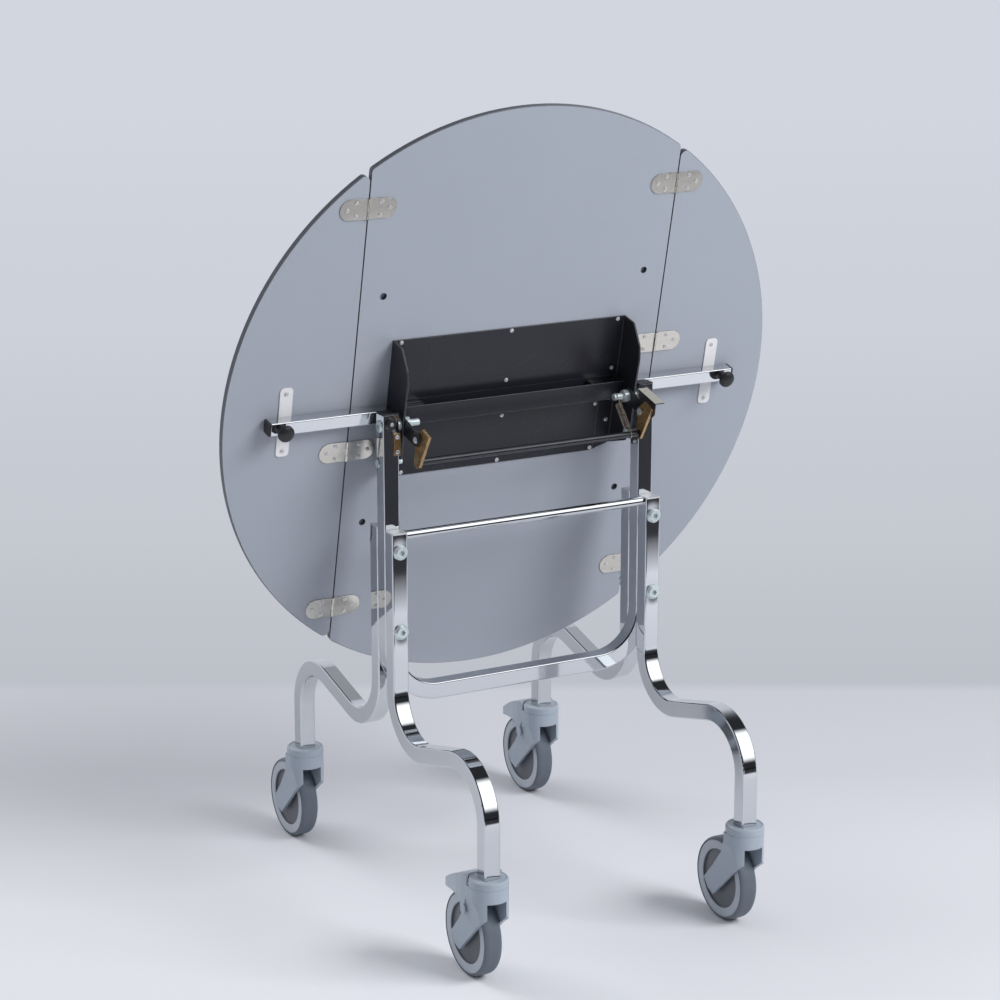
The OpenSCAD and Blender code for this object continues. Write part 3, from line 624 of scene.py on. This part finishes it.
# each wheel's light ring is told by the distance from its own hub
for joint in frame["record"]["behaviour"]["joints"]:
    if joint["name"].endswith("_spin"):
        corner = joint["name"][:2]
        dress(wheel_face(corner + "_wheel_plastic", joint["pos_m"]), corner + "_wheel")
dress(ROD, "latch_rod")
dress(SCREW, "leg_plugs")
dress(PADDLE, "release_paddle")
dent_round_bolts(CHROME)


# ---- surfaces ----


def surface(name, grid, finish_of, body, replaces=()):
    """One closed mesh from a grid of points (rows, columns, 3).

    Its rows are rings, and its first and last rows are single points. A face joins each point to
    the next one along its row and along its column, and points that meet are merged.
    """
    rows, columns = grid.shape[:2]
    i, j = np.meshgrid(np.arange(rows - 1), np.arange(columns), indexing="ij")
    k = (j + 1) % columns
    faces = np.stack(
        [i * columns + j, i * columns + k, (i + 1) * columns + k, (i + 1) * columns + j], -1
    )
    mesh = bpy.data.meshes.new(name)
    mesh.from_pydata(grid.reshape(-1, 3), [], faces.reshape(-1, 4))
    shell = bmesh.new()
    shell.from_mesh(mesh)
    bmesh.ops.remove_doubles(shell, verts=shell.verts, dist=MERGE)
    shell.to_mesh(mesh)
    shell.free()
    mesh.shade_smooth()
    mesh.set_sharp_from_angle(angle=SHARP_ANGLE)
    mesh.materials.append(finish_of)
    piece = bpy.data.objects.new(name, mesh)
    bpy.context.scene.collection.objects.link(piece)
    if body:
        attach(piece, body)
    if replaces:
        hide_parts(*replaces)
    return piece


def closed(rings):
    """Rings with a row added at each end that holds the end ring's middle."""
    ends = [np.broadcast_to(ring.mean(0), ring.shape)[None] for ring in (rings[0], rings[-1])]
    return np.concatenate([ends[0], rings, ends[1]])


def box_outline(half_x, half_y, r, steps=4):
    """A box with round corners, once round, and the way out at each of its points.

    A point is its corner's middle plus r times (cos a, sin a), where a turns a quarter at each.
    """
    turn = np.repeat(np.arange(4), steps + 1) * math.pi / 2
    a = turn + np.tile(np.linspace(0, math.pi / 2, steps + 1), 4)
    out = np.stack([np.cos(a), np.sin(a)], -1)
    corner = np.sign(np.stack([np.cos(turn + math.pi / 4), np.sin(turn + math.pi / 4)], -1))
    return corner * (np.array([half_x, half_y]) - r) + out * r, out


def plate(outline, out, thick, edge, steps=3):
    """A flat plate: its outline carried up through the thickness.

    At each face the outline is drawn in by edge * (1 - sin a), with a from 0 to a quarter turn.
    """
    a = np.linspace(0, math.pi / 2, steps + 1)
    inset = np.concatenate([edge * (1 - np.sin(a)), edge * (1 - np.cos(a))])
    height = np.concatenate([edge * (1 - np.cos(a)), thick - edge + edge * np.sin(a)])
    rings = outline[None] - out[None] * inset[:, None, None]
    raised = np.broadcast_to(height[:, None, None], rings.shape[:2] + (1,))
    return closed(np.concatenate([rings, raised], -1))


def on_top(grid):
    """From the stored top's own frame (across, up it, out of its underside) to the part's."""
    across = grid[..., :1] * np.array([1, 0, 0])
    return TOP_MIDDLE + across + grid[..., 1:2] * UP - grid[..., 2:] * OUT


def ring_points(start, end, at):
    """An eye of the wire, in the spring's own Y-Z plane, and the way out from its middle.

    A point is the middle at height at, plus the eye's radius times (0, sin a, cos a).
    """
    a = np.radians(np.linspace(start, end, EYE_STEPS))
    out = np.stack([0 * a, np.sin(a), np.cos(a)], -1)
    return EYE_R * out + [0, 0, at], out


def coil_spring():
    """A wire along an eye round the pivot bolt, a helix and an eye round the release rod.

    The helix is (r sin a, r cos a, height), with the height in step with a. The wire's own ring
    at each point lies across the path: the sum of cos b times the way out from the coil and
    sin b times the product of the path's heading with it.
    """
    reach = math.hypot(*ROD_PIN)
    turn = np.linspace(0, 1, SPRING_TURNS * TURN_STEPS + 1)
    a = 2 * math.pi * SPRING_TURNS * turn
    out = np.stack([np.sin(a), np.cos(a), 0 * a], -1)
    height = SPRING_END + (reach - 2 * SPRING_END) * turn
    coil = SPRING_R * out + np.stack([0 * a, 0 * a, height], -1)
    low, low_out = ring_points(*BOLT_EYE, 0)
    high, high_out = ring_points(*ROD_EYE, reach)
    path = np.concatenate([low, coil, high])
    way = np.concatenate([low_out, out, high_out])
    heading = np.gradient(path, axis=0)
    heading /= np.linalg.norm(heading, axis=-1, keepdims=True)
    way = way - heading * (way * heading).sum(-1, keepdims=True)
    way /= np.linalg.norm(way, axis=-1, keepdims=True)
    across = np.cross(heading, way)
    b = np.linspace(0, 2 * math.pi, WIRE_SIDES, endpoint=False)[None, :, None]
    round_wire = way[:, None] * np.cos(b) + across[:, None] * np.sin(b)
    local = path[:, None] + SPRING_WIRE / 2 * round_wire
    # turned about the pivot bolt until its own height points at the rod
    lean = math.atan2(-ROD_PIN[0], ROD_PIN[1])
    y = local[..., 1] * math.cos(lean) - local[..., 2] * math.sin(lean)
    z = local[..., 1] * math.sin(lean) + local[..., 2] * math.cos(lean)
    return closed(np.stack([SPRING_X + local[..., 0], y, z], -1) + PIVOT)


spring = surface(
    "coil_spring", coil_spring(), SPRING, None, replaces=("latch_spring",)
)
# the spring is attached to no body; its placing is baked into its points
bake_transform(spring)
# the flat sheet behind the channel that the support bars slide in
outline, out = box_outline(*BACKING_HALF, BACKING_CORNER)
backing = plate(outline, out, BACKING_THICK, BACKING_EDGE) + BACKING_AT
surface("channel_backing", on_top(backing), SHEET, "top")


# ---- stage ----

CAMERA_AT = (-2.0102, -3.6689, 1.7353)
LOOKING_AT = (-0.0293, 0.0, 0.6109)
LENS = 105.5
SENSOR = 36
FAR = 100

# the paper sweep: half its width, and its front edge, past which the plating mirrors the dark
FLOOR_HALF = 40.0
PAPER_END = -1.33
PAPER_FADE = 0.37
PAST_PAPER = (0.03, 0.03, 0.034)
# places are shares of the way from a reach before the table to as far behind it, as seen from
# the camera; the floor's tones are lit, and the paper's tones behind it are shown as they are;
# both hold painted shade: the floor darkens behind the table, and the paper at its foot
FLOOR_REACH = 2.0
FLOOR_TONES_AND_SHADE = [
    (0.0, (0.74, 0.755, 0.80)),
    (0.42, (0.70, 0.71, 0.75)),
    (0.62, (0.56, 0.57, 0.61)),
    (1.0, (0.54, 0.55, 0.59)),
]
WALL_REACH = 12.0
WALL_TONES_AND_SHADE = [
    (0.45, (0.66, 0.675, 0.72)),
    (0.5375, (0.505, 0.525, 0.575)),
    (0.58, (0.558, 0.580, 0.632)),
    (0.68, (0.612, 0.637, 0.702)),
    (0.875, (0.64, 0.67, 0.74)),
]
# the paper's tones take over between these depths behind the table, and between these radii
WALL_FROM = (0.90, 0.97)
AROUND_FROM = (1.3, 1.7)

# the studio that the plating mirrors: where its front and roof turn dark, and its tones
FRONT_FADE = (0.2, -0.25)
ROOF_FADE = (0.55, 0.85)
PALE_WALLS = (1.25, 1.30, 1.40)
DARK_WALLS = (0.05, 0.052, 0.058)
# the way to the soft box that the bends of the tubes mirror, its rim as a cosine, and its tone
SOFTBOX = (0.488, -0.627, 0.607)
SOFTBOX_RIM = (0.86, 0.955)
SOFTBOX_TONE = (3.2, 3.25, 3.3)
# soft light from all round
AMBIENT = (0.74, 0.76, 0.80)
AMBIENT_STRENGTH = 0.58

# lamps: place, the point that each looks at, size and watts
KEY_LAMP = ((1.95, -2.9, 2.9), (0, 0, 0.55), (2.4, 1.7), 160)
BACK_LAMP = ((-1.6, 2.6, 2.4), (-0.6, 0.6, 0.1), (2.2, 1.6), 60)


def aimed(thing, place, aim):
    """Puts a camera or lamp at a place, looking at a point, and in the scene."""
    thing.location = place
    thing.rotation_euler = (Vector(aim) - Vector(place)).to_track_quat("-Z", "Y").to_euler()
    bpy.context.scene.collection.objects.link(thing)


def camera():
    lens = bpy.data.cameras.new("camera")
    lens.lens = LENS
    lens.sensor_width = SENSOR
    lens.clip_end = FAR
    eye = bpy.data.objects.new("camera", lens)
    aimed(eye, CAMERA_AT, LOOKING_AT)
    bpy.context.scene.camera = eye


def floor():
    """A pale floor with painted shade: it darkens a little behind the table and at the foot of the
    sweep, and then lightens with distance.

    Close by it is lit. Further off it shows the sweep's tones by itself, to the camera and, where
    it lies behind the table, to the plating as well.
    """
    mesh = bpy.data.meshes.new("floor")
    corners = [(x * FLOOR_HALF, y * FLOOR_HALF, 0) for x, y in ((-1, -1), (1, -1), (1, 1), (-1, 1))]
    mesh.from_pydata(corners, [], [(0, 1, 2, 3)])
    plane = bpy.data.objects.new("floor", mesh)
    bpy.context.scene.collection.objects.link(plane)
    material = bpy.data.materials.new("paper_sweep")
    material.use_nodes = True
    tree = material.node_tree
    shader = tree.nodes["Principled BSDF"]
    place = node(tree, "ShaderNodeTexCoord").outputs["Object"]
    away = np.array(LOOKING_AT[:2]) - np.array(CAMERA_AT[:2])
    away /= np.linalg.norm(away)
    depth = vector(tree, "DOT_PRODUCT", place, (*away, 0))
    radius = vector(tree, "LENGTH", place)
    front = node(tree, "ShaderNodeSeparateXYZ", {0: place}).outputs["Y"]
    rays = node(tree, "ShaderNodeLightPath")
    from_camera, mirrored = rays.outputs["Is Camera Ray"], rays.outputs["Is Glossy Ray"]

    past_paper = ramp(tree, front, PAPER_END, PAPER_END - PAPER_FADE)
    # the floor's colour is darker just behind the table: a painted shadow
    lit = mix_colour(
        tree,
        number(tree, "MULTIPLY", past_paper, mirrored),
        tone_band(tree, depth, FLOOR_REACH, FLOOR_TONES_AND_SHADE),
        PAST_PAPER,
    )
    seen = number(tree, "MAXIMUM", from_camera, mirrored)
    behind = number(tree, "MULTIPLY", ramp(tree, depth, *WALL_FROM), seen)
    around = number(tree, "MULTIPLY", ramp(tree, radius, *AROUND_FROM), from_camera)
    wall = number(tree, "MAXIMUM", behind, around)
    # the sweep's glow is darkest at its foot: painted shade
    glow = tone_band(tree, depth, WALL_REACH, WALL_TONES_AND_SHADE)
    tree.links.new(mix_colour(tree, wall, lit, (0, 0, 0)), shader.inputs["Base Color"])
    tree.links.new(mix_colour(tree, wall, (0, 0, 0), glow), shader.inputs["Emission Color"])
    shader.inputs["Emission Strength"].default_value = 1.0
    shader.inputs["Roughness"].default_value = 0.8
    shader.inputs["Specular IOR Level"].default_value = 0.0
    mesh.materials.append(material)


def studio():
    """Soft light from all round, and for the plating to mirror a studio that is pale behind."""
    world = bpy.data.worlds.new("studio")
    world.use_nodes = True
    bpy.context.scene.world = world
    tree = world.node_tree
    ground = tree.nodes["Background"]
    way = node(tree, "ShaderNodeTexCoord").outputs["Generated"]
    parts = node(tree, "ShaderNodeSeparateXYZ", {0: way})
    dark_front = ramp(tree, parts.outputs["Y"], *FRONT_FADE)
    dark_roof = ramp(tree, parts.outputs["Z"], *ROOF_FADE)
    dark = number(tree, "MAXIMUM", dark_front, dark_roof)
    walls = mix_colour(tree, dark, PALE_WALLS, DARK_WALLS)
    in_box = ramp(tree, vector(tree, "DOT_PRODUCT", way, SOFTBOX), *SOFTBOX_RIM)
    mirrored = mix_colour(tree, in_box, walls, SOFTBOX_TONE)
    rays = node(tree, "ShaderNodeLightPath")
    shown = mix_colour(tree, rays.outputs["Is Glossy Ray"], AMBIENT, mirrored)
    tree.links.new(shown, ground.inputs["Color"])
    ground.inputs["Strength"].default_value = AMBIENT_STRENGTH


def soft_lamp(name, place, aim, size, watts):
    """A large soft lamp that the plating doesn't mirror."""
    lamp = bpy.data.lights.new(name, "AREA")
    lamp.shape = "RECTANGLE"
    lamp.size, lamp.size_y = size
    lamp.energy = watts
    box = bpy.data.objects.new(name, lamp)
    box.visible_glossy = False
    aimed(box, place, aim)


bpy.context.scene.view_settings.view_transform = "Standard"
camera()
floor()
studio()
soft_lamp("key", *KEY_LAMP)
soft_lamp("back", *BACK_LAMP)
